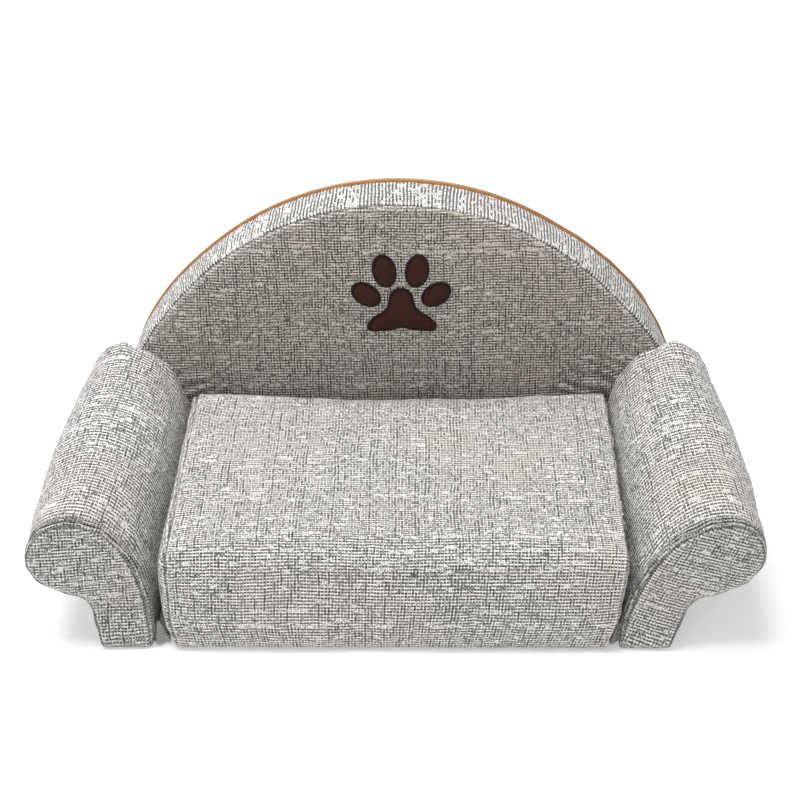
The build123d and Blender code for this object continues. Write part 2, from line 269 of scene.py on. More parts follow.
def baked(obj):
    """Replaces an object's mesh with the result of its modifiers."""
    graph = bpy.context.evaluated_depsgraph_get()
    mesh = bpy.data.meshes.new_from_object(obj.evaluated_get(graph), depsgraph=graph)
    obj.modifiers.clear()
    old = obj.data
    obj.data = mesh
    bpy.data.meshes.remove(old)
    obj.data.name = obj.name
    obj.data.shade_smooth()


def values_of(items, field, width=3):
    """One field of a mesh's vertices, normals or attribute, as rows of numbers."""
    values = np.empty(len(items) * width, np.float32)
    items.foreach_get(field, values)
    return values.reshape(-1, width).astype(float)


def coords(obj):
    return values_of(obj.data.vertices, "co")


def set_coords(obj, co):
    obj.data.vertices.foreach_set("co", np.asarray(co, np.float32).ravel())
    obj.data.update()


def normals(obj):
    return values_of(obj.data.vertex_normals, "vector")


def smoothstep(low, high, value):
    t = np.clip((value - low) / (high - low), 0, 1)
    return t * t * (3 - 2 * t)


def lumps(co, size, seed):
    """Smooth noise of about unit height at each point."""
    shift = Vector((seed * 3.7, seed * 1.3, seed * 7.1))
    return np.array([noise.noise(Vector(p / size) + shift) for p in co])


def bulging(share):
    """How far a wrap stands out between its two ends, from 0 to 1."""
    return max(0.0, math.sin(math.pi * min(1.0, share))) ** 0.6


def cover(name, near, far, axes, stations, along, tilts, belly=0.0, flat_from=1.0):
    """A closed cloth cover: a wrap that runs from a near outline to a far one, and a panel at each end.

    axes are the two directions of the end panels' plane, stations the shares of the length where the
    wrap has rows, along says that its strong threads run along the length, tilts turn the strong
    threads of the two end panels from the first axis. Belly pushes the wrap out between the ends, or
    more and more up to the share flat_from and not past it."""
    count, rows = len(near), len(stations)
    axes = np.array(axes, float)
    wrap = []
    for share in stations:
        full = bulging(share) if flat_from == 1 else (share / flat_from) ** 0.8
        wrap.append(near + share * (far - near) + belly * full * (share <= flat_from))
    run = np.linalg.norm(far - near, axis=1).mean()
    verts = np.vstack(wrap)
    around = lengths(near)
    faces, threads, panels = [], [], []
    for j in range(rows - 1):
        for i in range(count):
            k = (i + 1) % count
            faces.append((j * count + i, (j + 1) * count + i, (j + 1) * count + k, j * count + k))
            panels.append(0)
            for corner, row in ((i, j), (i, j + 1), (i + 1, j + 1), (i + 1, j)):
                s, share = around[corner], stations[row]
                length = share * run
                gap = min(share, 1 - share) * run
                threads.append((length, s, gap) if along else (s, length, gap))
    seam = list(np.repeat([min(s, 1 - s) * run for s in stations], count))
    ends = ((near, 0, tilts[0]), (far, (rows - 1) * count, tilts[1]))
    for panel, (ring, first, tilt) in enumerate(ends, 1):
        origin = ring[0]
        flat = (ring - origin) @ axes.T
        spots, triangles = fill_outline(flat, grid, seam_rings)
        start = len(verts)
        verts = np.vstack([verts, origin + spots @ axes])
        flat = np.vstack([flat, spots])
        gap = np.concatenate([np.zeros(count), edge_distance(spots, flat[:count])])
        seam += list(gap[count:])
        turn = math.radians(tilt)
        sine, cosine = math.sin(turn), math.cos(turn)
        turned = flat @ np.array([[cosine, -sine], [sine, cosine]])
        for triangle in triangles:
            if panel == 2:
                triangle = triangle[::-1]
            faces.append([first + k if k < count else start + k - count for k in triangle])
            panels.append(panel)
            threads += [(turned[k][0], turned[k][1], gap[k]) for k in triangle]
    obj = new_object(name, verts, faces)
    set_threads(obj.data, threads)
    layer = obj.data.attributes.new("panel", "INT", "FACE")
    layer.data.foreach_set("value", panels)
    layer = obj.data.attributes.new("seam", "FLOAT", "POINT")
    layer.data.foreach_set("value", seam)
    return obj, np.array(seam)


def inflate(obj, pins, cap, slack):
    """Fills a cover: a cloth simulation pushes it out, no point further than cap. pins hold it still."""
    start = coords(obj)
    group = obj.vertex_groups.new(name="pins")
    for level in range(1, 11):
        chosen = np.nonzero(np.round(pins * 10) == level)[0]
        group.add([int(k) for k in chosen], level / 10, "REPLACE")
    cloth = obj.modifiers.new("cloth", "CLOTH")
    settings = cloth.settings
    settings.quality = 5
    settings.mass = 0.2
    settings.tension_stiffness = settings.compression_stiffness = 20
    settings.shear_stiffness = 8
    settings.bending_stiffness = 0.6
    settings.use_pressure = True
    settings.uniform_pressure_force = pressure
    settings.shrink_min = -slack
    settings.vertex_group_mass = "pins"
    settings.effector_weights.gravity = 0
    cloth.collision_settings.use_collision = False
    cloth.point_cache.frame_start = 1
    cloth.point_cache.frame_end = sim_frames
    scene = bpy.context.scene
    for step in range(1, sim_frames + 1):
        scene.frame_set(step)
    graph = bpy.context.evaluated_depsgraph_get()
    end = np.array([v.co for v in obj.evaluated_get(graph).data.vertices])
    obj.modifiers.clear()
    obj.vertex_groups.clear()
    scene.frame_set(1)
    move = end - start
    size = np.linalg.norm(move, axis=1, keepdims=True)
    set_coords(obj, start + move * (cap * np.tanh(size / cap) / np.maximum(size, 1e-9)))


def refine(obj):
    """One subdivision, kept in the mesh."""
    subdivision = obj.modifiers.new("subdivision", "SUBSURF")
    subdivision.levels = subdivision.render_levels = 1
    baked(obj)


def seam_of(obj):
    return values_of(obj.data.attributes["seam"].data, "value", 1)[:, 0]


def pinch(obj, depth, pucker, seed):
    """Pulls the cloth in at its seams and gathers it lightly beside them."""
    co, out, gap = coords(obj), normals(obj), seam_of(obj)
    tight = np.exp(-((gap / (1.7 * MM)) ** 2))
    roll = np.exp(-(((gap - 5 * MM) / (3.5 * MM)) ** 2))
    beside = np.exp(-((gap / (12 * MM)) ** 2)) * (1 - tight)
    gathers = lumps(co, 7 * MM, seed)
    height = -depth * tight + 0.35 * depth * roll + pucker * gathers * beside
    set_coords(obj, co + out * height[:, None])


def split_panels(obj, parts):
    """Cuts a cover into its panels along the seams, each panel an object of its own."""
    made = []
    for panel, name in enumerate(parts):
        bm = bmesh.new()
        bm.from_mesh(obj.data)
        layer = bm.faces.layers.int["panel"]
        others = [f for f in bm.faces if f[layer] != panel]
        bmesh.ops.delete(bm, geom=others, context="FACES")
        mesh = bpy.data.meshes.new(name)
        bm.to_mesh(mesh)
        bm.free()
        mesh.shade_smooth()
        made.append(linked(name, mesh))
    bpy.data.objects.remove(obj)
    return made


def finish_piece(piece, material, nodes=(), body="sofa_frame"):
    """Gives a piece its material and its body, and hides the CAD nodes it stands for."""
    piece.data.materials.clear()
    piece.data.materials.append(material)
    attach(piece, body)
    if nodes:
        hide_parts(*nodes)


# ---- Materials -----------------------------------------------------------------


class Shader:
    """A material with a Principled shader, and short ways to add nodes to it."""

    def __init__(self, name, roughness=0.9, **sockets):
        self.material = bpy.data.materials.new(name)
        self.material.use_nodes = True
        self.tree = self.material.node_tree
        self.principled = self.tree.nodes["Principled BSDF"]
        self.principled.inputs["Roughness"].default_value = roughness
        for socket, value in sockets.items():
            self.principled.inputs[socket.replace("_", " ")].default_value = value

    def put(self, socket, value):
        """Links a socket to another, or sets it to a number or a colour."""
        if isinstance(value, bpy.types.NodeSocket):
            self.tree.links.new(value, socket)
        elif value is not None:
            socket.default_value = (*value, 1.0) if isinstance(value, tuple) else value

    def node(self, kind, entries, output=0, **settings):
        """Adds a node with entries for its inputs, in order or by name, and gives an output of it."""
        node = self.tree.nodes.new("ShaderNode" + kind)
        for name, setting in settings.items():
            setattr(node, name, setting)
        for key, value in entries.items() if isinstance(entries, dict) else enumerate(entries):
            self.put(node.inputs[key], value)
        return node.outputs[output]

    def math(self, operation, a, b=None, c=None):
        entries = [value for value in (a, b, c) if value is not None]
        return self.node("Math", entries, operation=operation)

    def times(self, a, b, more=None):
        """a times b, and more added where it is given."""
        return self.math("MULTIPLY" if more is None else "MULTIPLY_ADD", a, b, more)

    def plus(self, a, b):
        return self.math("ADD", a, b)

    def wave(self, value, turns):
        """The sine of a value times turns."""
        return self.math("SINE", self.times(value, turns))

    def odd(self, number):
        """1 where a whole number, kept positive by a large even one, is odd, and 0 elsewhere."""
        return self.math("MODULO", self.plus(number, 20000.0), 2.0)

    def combine(self, x, y, z=0.0):
        return self.node("CombineXYZ", (x, y, z))

    def separate(self, vector):
        return self.node("SeparateXYZ", (vector,), slice(3))

    def attribute(self, name):
        return self.node("Attribute", (), "Vector", attribute_name=name)

    def object_place(self):
        return self.node("TexCoord", (), "Object")

    def noise(self, vector, scale, detail=2.0, roughness=0.5):
        entries = {"Vector": vector, "Scale": scale, "Detail": detail, "Roughness": roughness}
        return self.node("TexNoise", entries, "Fac")

    def grain(self, *settings):
        """Noise that stays with the object."""
        return self.noise(self.object_place(), *settings)

    def random(self, value):
        return self.node("TexWhiteNoise", {"W": value}, "Value", noise_dimensions="1D")

    def ramp(self, value, low, high, out_low=0.0, out_high=1.0):
        entries = value, low, high, out_low, out_high
        return self.node("MapRange", entries, interpolation_type="SMOOTHSTEP")

    def mix(self, factor, a, b, **settings):
        return self.node("Mix", {0: factor, 6: a, 7: b}, 2, data_type="RGBA", **settings)

    def shade(self, colour, factor):
        """A colour made darker by a factor from 0 to 1."""
        return self.mix(1.0, colour, self.combine(factor, factor, factor), blend_type="MULTIPLY")

    def finish(self, colour, height=None, distance=0.2 * MM, strength=1.0, roughness=None):
        self.put(self.principled.inputs["Base Color"], colour)
        if roughness is not None:
            self.put(self.principled.inputs["Roughness"], roughness)
        if height is not None:
            entries = {"Strength": strength, "Distance": distance, "Height": height}
            self.put(self.principled.inputs["Normal"], self.node("Bump", entries))
        return self.material


off_white = (0.95, 0.93, 0.90)
even = (thread_pitch, thread_pitch)


def linen(name, weft_dark, warp_dark, light=off_white, seed=0.0, dash=11 * MM, pitch=even, bold=0.0):
    """Off-white slub linen with broken dark threads. The dark shares say how many of each way show,
    and bold threads cover more of the cloth."""
    s = Shader(name, Sheen_Weight=0.2, Sheen_Roughness=0.5, Specular_IOR_Level=0.2)
    threads = s.attribute("threads")
    u, v, gap = s.separate(threads)
    moved = s.combine(s.plus(u, seed), v, seed)
    crossed = s.combine(v, s.plus(u, seed + 4.0), seed)

    def wander(run, place):
        """A thread's place with its slow drift and small kinks."""
        slow = s.times(s.noise(place, 13.0, 0.0), 5 * MM, -2.5 * MM)
        kinks = s.times(s.noise(place, 75.0, 1.0), 1.6 * MM, -0.8 * MM)
        return s.plus(s.plus(run, seed), s.plus(slow, kinks))

    u, v = wander(u, crossed), wander(v, moved)
    across_u = s.math("DIVIDE", u, pitch[0])
    across_v = s.math("DIVIDE", v, pitch[1])
    i, j = s.math("FLOOR", across_u), s.math("FLOOR", across_v)
    fu, fv = s.math("FRACT", across_u), s.math("FRACT", across_v)
    crown_u, crown_v = s.wave(fu, math.pi), s.wave(fv, math.pi)
    patches = s.noise(moved, 26.0, 2.0)

    def dark_threads(index, run, share, salt, length):
        """Where the threads of one way are dark: mostly every other thread, in broken dashes."""
        lean = s.times(s.random(s.plus(index, salt)), 0.2, -0.1)
        place = s.combine(s.math("DIVIDE", run, length), s.times(index, 7.31), salt)
        value = s.plus(s.noise(place, 1.0, 1.0, 0.6), lean)
        value = s.times(patches, 0.06, value)
        value = s.times(s.odd(index), -0.42, value)
        middle = 0.53 + 0.4 * (0.5 - share)
        return s.ramp(value, middle - 0.03, middle + 0.05)

    weft = dark_threads(j, u, weft_dark, 11.0, dash)
    warp = dark_threads(i, v, warp_dark, 47.0, dash * 0.6)
    parity = s.odd(s.plus(i, j))
    weft = s.times(weft, s.times(parity, -0.5 + 0.4 * bold, 1.0))
    warp = s.times(warp, s.times(parity, 0.5, 0.35))
    weft = s.times(weft, s.ramp(crown_v, 0.26 - 0.2 * bold, 0.56 - 0.25 * bold))
    warp = s.times(warp, s.ramp(crown_u, 0.4, 0.75))
    dark = s.math("MAXIMUM", weft, warp)
    fleck = s.random(s.times(i, 57.0, s.times(j, 131.0)))
    grey = tuple(c * 0.38 for c in light)
    warm = (light[0] * 0.95, light[1] * 0.89, light[2] * 0.82)
    cloth = s.mix(s.ramp(fleck, 0.4, 0.95, 0.0, 0.95), light, grey)
    cloth = s.mix(s.ramp(s.noise(moved, 9.0, 1.0), 0.5, 0.75, 0.0, 0.4), cloth, warm)
    cloth = s.mix(dark, cloth, (0.006, 0.0055, 0.0055))
    # Darker along the gaps between threads and darkest in the holes where four threads meet: painted
    # shade of the weave's hollows.
    cloth = s.shade(cloth, s.ramp(s.math("MINIMUM", crown_u, crown_v), 0.0, 0.5, 0.5, 1.0))
    cloth = s.shade(cloth, s.ramp(s.math("MAXIMUM", crown_u, crown_v), 0.35, 0.8, 0.1, 1.0))
    worn = s.times(s.ramp(gap, 2.5 * MM, 7 * MM, 1.0, 0.0), s.ramp(gap, 1.5 * MM, 3 * MM))
    cloth = s.mix(s.times(worn, 0.15), cloth, light)
    # Darker within about 2 mm of the seam: painted shade in the seam's crease.
    cloth = s.shade(cloth, s.ramp(gap, 0.2 * MM, 2.2 * MM, 0.4, 1.0))
    fibres = s.noise(threads, 2600.0, 2.0)
    height = s.times(dark, 0.3, s.times(crown_u, crown_v))
    height = s.times(fibres, 0.25, height)
    height = s.times(patches, 2.5, height)
    rough = s.times(fibres, 0.15, 0.78)
    return s.finish(cloth, height, 0.3 * MM, 0.8, rough)


def plain_cloth(name, colour, pitch=1.0 * MM, sheen=0.2):
    """A plain woven cloth in one colour with uneven threads, mapped on the object's own place."""
    s = Shader(name, Sheen_Weight=sheen)
    x, y, z = s.separate(s.object_place())
    a = s.wave(s.plus(x, z), math.pi / pitch)
    b = s.wave(s.plus(y, z), math.pi / pitch)
    weave = s.times(a, b)
    mottle = s.grain(60.0, 4.0)
    light = tuple(min(1.0, c * 1.35) for c in colour)
    tone = s.mix(s.ramp(mottle, 0.35, 0.65), colour, light)
    # Darker where the weave dips: painted shade in its hollows.
    tone = s.shade(tone, s.times(weave, 0.14, 0.86))
    return s.finish(tone, s.plus(weave, mottle), 0.15 * MM, 0.7, s.ramp(mottle, 0, 1, 0.75, 0.95))


def grip_cloth():
    """Dark non-woven sheet with rows of rubber dots."""
    s = Shader("grip_cloth", Sheen_Weight=0.1)
    x, y, z = s.separate(s.object_place())
    fx = s.math("SUBTRACT", s.math("FRACT", s.math("DIVIDE", x, 6 * MM)), 0.5)
    fy = s.math("SUBTRACT", s.math("FRACT", s.math("DIVIDE", y, 6 * MM)), 0.5)
    reach = s.math("SQRT", s.plus(s.times(fx, fx), s.times(fy, fy)))
    dot = s.ramp(reach, 0.2, 0.28, 1.0, 0.0)
    felt = s.grain(900.0, 4.0)
    tone = s.mix(felt, (0.02, 0.02, 0.022), (0.07, 0.07, 0.075))
    tone = s.mix(dot, tone, (0.03, 0.03, 0.03))
    height = s.times(dot, 2.0, felt)
    return s.finish(tone, height, 0.3 * MM, 0.9, s.ramp(dot, 0, 1, 0.95, 0.5))


def grained(name, grain, dark, light, depth, strength, rough, **sockets):
    """Two colours mixed by one fine grain, which also gives the relief and the changes of gloss."""
    s = Shader(name, **sockets)
    fibre = s.grain(*grain)
    gloss = s.ramp(fibre, 0.3, 0.7, *rough)
    return s.finish(s.mix(fibre, dark, light), fibre, depth * MM, strength, gloss)


def hardboard():
    """Pressed brown fibre board."""
    s = Shader("hardboard", 0.7)
    fibre = s.grain(400.0, 6.0, 0.7)
    cloud = s.grain(25.0, 3.0)
    tone = s.mix(fibre, (0.16, 0.085, 0.04), (0.30, 0.18, 0.09))
    tone = s.shade(tone, s.ramp(cloud, 0.3, 0.7, 0.8, 1.0))
    return s.finish(tone, fibre, 0.1 * MM, 0.8, s.ramp(fibre, 0.3, 0.7, 0.55, 0.8))


def paw_felt():
    """Dark brown brushed felt with short fibres and a little pilling."""
    s = Shader("paw_felt", Sheen_Weight=0.12, Sheen_Roughness=0.4, Specular_IOR_Level=0.2)
    s.principled.inputs["Sheen Tint"].default_value = (0.5, 0.3, 0.2, 1)
    place = s.object_place()
    fibre = s.noise(place, 1500.0, 5.0, 0.7)
    clumps = s.noise(place, 160.0, 3.0)
    tone = s.mix(fibre, (0.014, 0.005, 0.003), (0.075, 0.026, 0.015))
    tone = s.mix(s.ramp(clumps, 0.55, 0.8, 0.0, 0.5), tone, (0.085, 0.034, 0.021))
    gloss = s.ramp(clumps, 0.3, 0.7, 0.75, 0.95)
    return s.finish(tone, s.plus(fibre, clumps), 0.25 * MM, 0.8, gloss)


def paw_thread():
    """Dark embroidery floss: a soft lustre and fine twist."""
    dark, light = (0.006, 0.003, 0.0025), (0.020, 0.009, 0.006)
    gloss = 0.35, 0.6
    return grained("paw_thread", (2500.0, 2.0), dark, light, 0.05, 0.6, gloss, Specular_IOR_Level=0.3)


def zip_cloth(name, colour, dark):
    """Zip tape: a fine herringbone along the tape, darker at its outer edge."""
    s = Shader(name, Sheen_Weight=0.15)
    u, v, gap = s.separate(s.attribute("threads"))
    zigzag = s.math("ABSOLUTE", s.math("SUBTRACT", s.math("FRACT", s.math("DIVIDE", v, 2 * MM)), 0.5))
    slant = s.plus(s.math("DIVIDE", u, 0.7 * MM), s.times(zigzag, 3.0))
    rib = s.wave(slant, 2 * math.pi)
    cloud = s.grain(45.0, 3.0)
    tone = s.mix(s.ramp(cloud, 0.35, 0.7), colour, tuple(c * 0.8 for c in colour))
    # Darker in the grooves between the ribs: painted shade.
    tone = s.shade(tone, s.times(rib, 0.1, 0.9))
    tone = s.mix(s.ramp(gap, 0.3 * MM, 0.9 * MM, 0.75, 0.0), tone, dark)
    return s.finish(tone, rib, 0.08 * MM, 0.6, s.ramp(cloud, 0.3, 0.7, 0.65, 0.85))


def zip_coil(name, colour):
    """Nylon coil: smooth plastic with faint streaks."""
    dark = tuple(c * 0.7 for c in colour)
    return grained(name, (700.0, 2.0), dark, colour, 0.03, 0.5, (0.28, 0.5))


def zinc():
    """Cast zip metal, tumbled, with faint stains."""
    s = Shader("zip_metal", 0.3, Metallic=1.0)
    place = s.object_place()
    scratch = s.noise(place, 1800.0, 3.0, 0.7)
    stain = s.noise(place, 300.0, 3.0)
    tone = s.mix(s.ramp(stain, 0.4, 0.65), (0.60, 0.58, 0.54), (0.38, 0.36, 0.34))
    return s.finish(tone, scratch, 0.02 * MM, 0.5, s.ramp(scratch, 0.3, 0.7, 0.22, 0.45))


def satin():
    """White satin label tape with fine cross ribs."""
    s = Shader("label_satin", 0.4, Sheen_Weight=0.3)
    x, y, z = s.separate(s.object_place())
    rib = s.wave(z, 2 * math.pi / (0.5 * MM))
    cloud = s.grain(80.0, 3.0)
    tone = s.mix(s.ramp(cloud, 0.3, 0.7), (0.78, 0.77, 0.74), (0.68, 0.67, 0.64))
    # Darker in the grooves between the ribs: painted shade.
    tone = s.shade(tone, s.times(rib, 0.05, 0.95))
    return s.finish(tone, rib, 0.05 * MM, 0.5, s.ramp(cloud, 0.3, 0.7, 0.35, 0.5))


seat_cloth = linen("linen_seat", 0.88, 0.3, seed=0.3, dash=17 * MM)
seat_side_cloth = linen("linen_seat_side", 0.88, 0.3, seed=1.1, dash=17 * MM)
# The backrest's front panel gets a darker, warmer copy of the linen: painted shade, with a painted warm
# tint of bounced light.
shaded_back_panel_cloth = linen("linen_back_painted_shade", 0.9, 0.36, light=(0.82, 0.765, 0.70), seed=2.3, dash=17 * MM)
ribs = (1.9 * MM, 1.9 * MM)
gusset_cloth = linen("linen_gusset", 0.76, 0.0, seed=3.7, dash=12 * MM, pitch=ribs, bold=0.5)
rear_cloth = linen("linen_rear", 0.84, 0.36, seed=4.9, dash=16 * MM)
arm_cloth = linen("linen_arm", 0.9, 0.28, seed=5.3, dash=17 * MM, pitch=(1.7 * MM, 2.4 * MM))
# The arms' front faces get a darker, duller copy of the linen: painted shade of faces turned away from
# the overhead light.
painted_shade_off_white = (0.86, 0.845, 0.82)
shaded_arm_face_cloth = linen("linen_arm_face_painted_shade", 0.92, 0.26, light=painted_shade_off_white, seed=6.1, dash=16 * MM)
seam_cloth = linen("linen_seam", 0.55, 0.6, seed=7.7)
# Near-black strips laid in the grooves between the arms' seam ridges: painted shade.
groove_shade_strip = plain_cloth("painted_groove_shade", (0.005, 0.005, 0.005), 0.4 * MM, 0.0)
base_cloth = plain_cloth("base_cloth", (0.30, 0.29, 0.28))
felt, floss = paw_felt(), paw_thread()
tan_tape = zip_cloth("tan_zip_tape", (0.56, 0.30, 0.13), (0.12, 0.05, 0.02))
tan_edge = zip_cloth("tan_zip_edge", (0.60, 0.30, 0.11), (0.42, 0.20, 0.07))
tan_coil = zip_coil("tan_zip_coil", (0.62, 0.40, 0.22))
grey_tape = zip_cloth("grey_zip_tape", (0.36, 0.35, 0.34), (0.15, 0.15, 0.15))
grey_coil = zip_coil("grey_zip_coil", (0.45, 0.44, 0.43))
board_finish, grip_finish, metal, label_finish = hardboard(), grip_cloth(), zinc(), satin()

finishes = {
    "board": board_finish,
    "grip": grip_finish,
    "slider": metal,
    "pull": metal,
    "stops": metal,
    "label": label_finish,
}
for node, obj in frame["nodes"].items():
    fitting = [finish for word, finish in finishes.items() if word in node]
    obj.data.materials.clear()
    obj.data.materials.append(fitting[0] if fitting else base_cloth)


# ---- Seat cushion ----------------------------------------------------------------


def stations_for(length, spacing=grid):
    """Shares of a length with rows close to both ends, where the seams are."""
    inner = [r / length for r in seam_rings]
    middle = np.linspace(inner[-1], 1 - inner[-1], max(3, int(length / spacing)))
    return np.concatenate([[0], inner[:-1], middle, [1 - r for r in inner[:-1]][::-1], [1]])


low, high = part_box("cushion_wrap")
seat_front, seat_rear = low.y, high.y
seat_bottom, seat_top = low.z, high.z - 5 * MM
side_seam = high.x + 0.5 * MM
base_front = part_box("base_liner")[0].y


def rounded_section(corners, crown):
    """A closed outline of (place, height, radius) corners whose top side rises by crown."""
    points = []
    count = len(corners)
    for k in range(count):
        before, corner, after = (
            np.array(corners[(k + step) % count][:2], float) for step in (-1, 0, 1)
        )
        enter, leave = before - corner, after - corner
        enter /= np.linalg.norm(enter)
        leave /= np.linalg.norm(leave)
        for t in np.linspace(0, 1, 9):
            a = corner + enter * corners[k][2] * (1 - t) ** 2
            points.append(a + leave * corners[k][2] * t**2)
    points = resample(np.array(points), int(lengths(np.array(points))[-1] / grid), True)
    middle = (points[:, 0].min() + points[:, 0].max()) / 2
    half = (points[:, 0].max() - points[:, 0].min()) / 2
    share = 1 - ((points[:, 0] - middle) / half) ** 2
    above = points[:, 1] > points[:, 1].mean()
    points[above, 1] += crown * share[above]
    return points


# The front hangs over the base's front edge, almost to the floor
inset = 2 * MM
lip = 1 * MM
section = rounded_section(
    [
        (-(seat_front + inset), lip, 5 * MM),
        (-(seat_front + inset), seat_top - inset, 18 * MM),
        (-seat_rear, seat_top - inset, 16 * MM),
        (-seat_rear, seat_bottom, 10 * MM),
        (-(base_front - 1 * MM), seat_bottom, 2 * MM),
        (-(base_front - 3 * MM), lip, 2 * MM),
    ],
    5 * MM,
)
section = counterclockwise(section)
near = np.stack([np.full(len(section), -side_seam), -section[:, 0], section[:, 1]], 1)
far = near * (-1, 1, 1)
side_bulge = 8 * MM  # the left side panel stands out past its seam
foot_tuck, top_spread, front_hang = 9 * MM, 4 * MM, 9 * MM
front_shift, top_lean = -2 * MM, 0.06
near[:, 0] += side_bulge
seat, gap = cover("seat", near, far, ((0, -1, 0), (0, 0, 1)), stations_for(2 * side_seam), True, (0, 0))
co = coords(seat)
on_left = co[:, 0] < side_bulge - side_seam + 0.01 * MM
co[:, 0] -= side_bulge * on_left * (1 - np.exp(-gap / (6 * MM)))
# Its sides tuck in at the foot, its top leans to the right in front, and its front hangs forward
frontness = (seat_rear - co[:, 1]) / (seat_rear - seat_front)
narrow = foot_tuck * (1 - smoothstep(0, 45 * MM, co[:, 2]))
wide = top_spread * smoothstep(40 * MM, 100 * MM, co[:, 2])
co[:, 0] *= 1 + (wide - narrow) / side_seam
co[:, 0] += (front_shift + top_lean * co[:, 2]) * frontness
lower_front = smoothstep(0.93, 1.0, frontness) * smoothstep(80 * MM, 10 * MM, co[:, 2])
co[:, 1] -= front_hang * lower_front
set_coords(seat, co)
pins = np.where(co[:, 2] < seat_bottom + 1 * MM, 1.0, 0.0)
pins = np.maximum(pins, np.where(gap < 0.5 * MM, 0.8, 0.0))
zip_zone = (co[:, 1] > seat_rear - 1 * MM) & (co[:, 2] < 75 * MM)
pins = np.where(zip_zone, 1.0, pins)
inflate(seat, pins, puff_cap["seat"], 0.012)
refine(seat)
co, out = coords(seat), normals(seat)
soft = lumps(co * (1, 1, 0.3), 90 * MM, 1) * 2.0 + lumps(co, 28 * MM, 2) * 0.7
hold = 1 - (co[:, 1] > seat_rear - 3 * MM) * (co[:, 2] < 80 * MM)
hold = hold * smoothstep(seat_bottom + 2 * MM, seat_bottom + 20 * MM, co[:, 2])
co += out * (soft * MM * hold)[:, None]
set_coords(seat, co)
pinch(seat, 1.6 * MM, 0.8 * MM, 3)
seat_wrap, seat_left, seat_right = split_panels(
    seat, ("seat_cushion_wrap", "seat_cushion_left_side", "seat_cushion_right_side")
)
for piece, cloth, nodes in (
    (seat_wrap, seat_cloth, ("cushion_wrap", "cushion_core")),
    (seat_left, seat_side_cloth, ("cushion_left_panel",)),
    (seat_right, seat_side_cloth, ("cushion_right_panel",)),
):
    finish_piece(piece, cloth, nodes, "seat_cushion")


# ---- Backrest --------------------------------------------------------------------

back_joint = next(j for j in frame["joints"] if j["name"] == "back_zip_slide")
back_centre = np.array(back_joint["pos_m"])
back_out = np.array(back_joint["axis"])  # out of the front of the backrest
back_up = np.cross((1, 0, 0), -back_out)
back_depth = -span("back_rear_panel", back_out)[0] + back_centre @ back_out
back_radius = span("back_front_panel", (1, 0, 0))[1]
back_low = span("back_front_panel", back_up)[0] - back_centre @ back_up


def back_place(across, up, depth):
    """A point of the backrest: across, up its lean from the arc's centre, and behind its front."""
    across, up, depth = (np.asarray(v, float)[..., None] for v in (across, up, depth))
    return back_centre + across * np.array((1.0, 0, 0)) + up * back_up - depth * back_out


def back_outline(radius):
    reach = math.asin(back_low / radius)
    turn = np.linspace(reach, math.pi - reach, 400)
    arc = np.stack([radius * np.cos(turn), radius * np.sin(turn)], 1)
    count = int(radius * (math.pi - 2 * reach) / grid)
    chord = resample(np.array([arc[-1], arc[0]]), int(2 * radius / grid))
    return np.vstack([resample(arc, count), chord[1:-1]])


def gusset_fullness(turn):
    """How far the gusset stands out in front of the zip, more low down and most at the right."""
    right_low = smoothstep(1.05, 0.5, turn)
    left_low = smoothstep(math.pi - 0.9, math.pi - 0.45, turn)
    foot = smoothstep(0.02, 0.24, np.minimum(turn, math.pi - turn))
    return 0.8 * MM + (8.0 * MM * right_low + 5.0 * MM * left_low) * foot


rim = back_outline(back_radius - 0.5 * MM)
front_skin, rear_skin = 1.5 * MM, back_depth - 1.0 * MM
zip_share = (back_depth - 9.5 * MM) / back_depth  # where the gusset meets the zip
near = back_place(rim[:, 0], rim[:, 1], np.full(len(rim), front_skin))
far = back_place(rim[:, 0], rim[:, 1], np.full(len(rim), rear_skin))
out_of_rim = unit(back_place(rim[:, 0], rim[:, 1], 0 * rim[:, 0]) - back_centre)
turn = np.arctan2(rim[:, 1], np.abs(rim[:, 0]))
# The filling has sunk, so the front edge bulges at both sides low down, more on the right
sunk_right, sunk_left, sunk_turn = 7 * MM, 4 * MM, 0.42
sunk = np.exp(-(((turn - sunk_turn) / 0.2) ** 2)) * np.where(rim[:, 0] > 0, sunk_right, sunk_left)
near += out_of_rim * (sunk * (rim[:, 1] > back_low + 1 * MM))[:, None]
fullness = gusset_fullness(np.arctan2(rim[:, 1], rim[:, 0]))
fullness[rim[:, 1] < back_low + 1 * MM] = 0
rows = np.unique([*stations_for(rear_skin - front_skin), zip_share, zip_share + 0.012])
belly = out_of_rim * fullness[:, None]
back, gap = cover("back", near, far, ((1, 0, 0), back_up), rows, True, (0, 0), belly, zip_share)
co = coords(back) - back_centre
depth = -(co @ back_out)
height = co @ back_up
pins = np.where(height < back_low + 2 * MM, 1.0, np.where(gap < 0.5 * MM, 0.8, 0.0))
ring = np.hypot(co[:, 0], height)
zip_row = (depth > back_depth - 10 * MM) & (ring > back_radius - 6 * MM)
pins = np.where(zip_row, 1.0, pins)
inflate(back, pins, puff_cap["back"], 0.008)
refine(back)
co, out = coords(back), normals(back)
local = co - back_centre
up_face, across_face, depth = local @ back_up, local[:, 0], -(local @ back_out)
zip_side = smoothstep(back_depth - 14 * MM, back_depth - 8 * MM, depth)
ring = np.hypot(across_face, up_face)
on_rim = smoothstep(back_radius - 12 * MM, back_radius - 6 * MM, ring)
free = 1 - zip_side * on_rim
soft = lumps(co, 80 * MM, 5) * 1.6 + lumps(co, 24 * MM, 6) * 0.5
co += out * (soft * MM * free)[:, None]
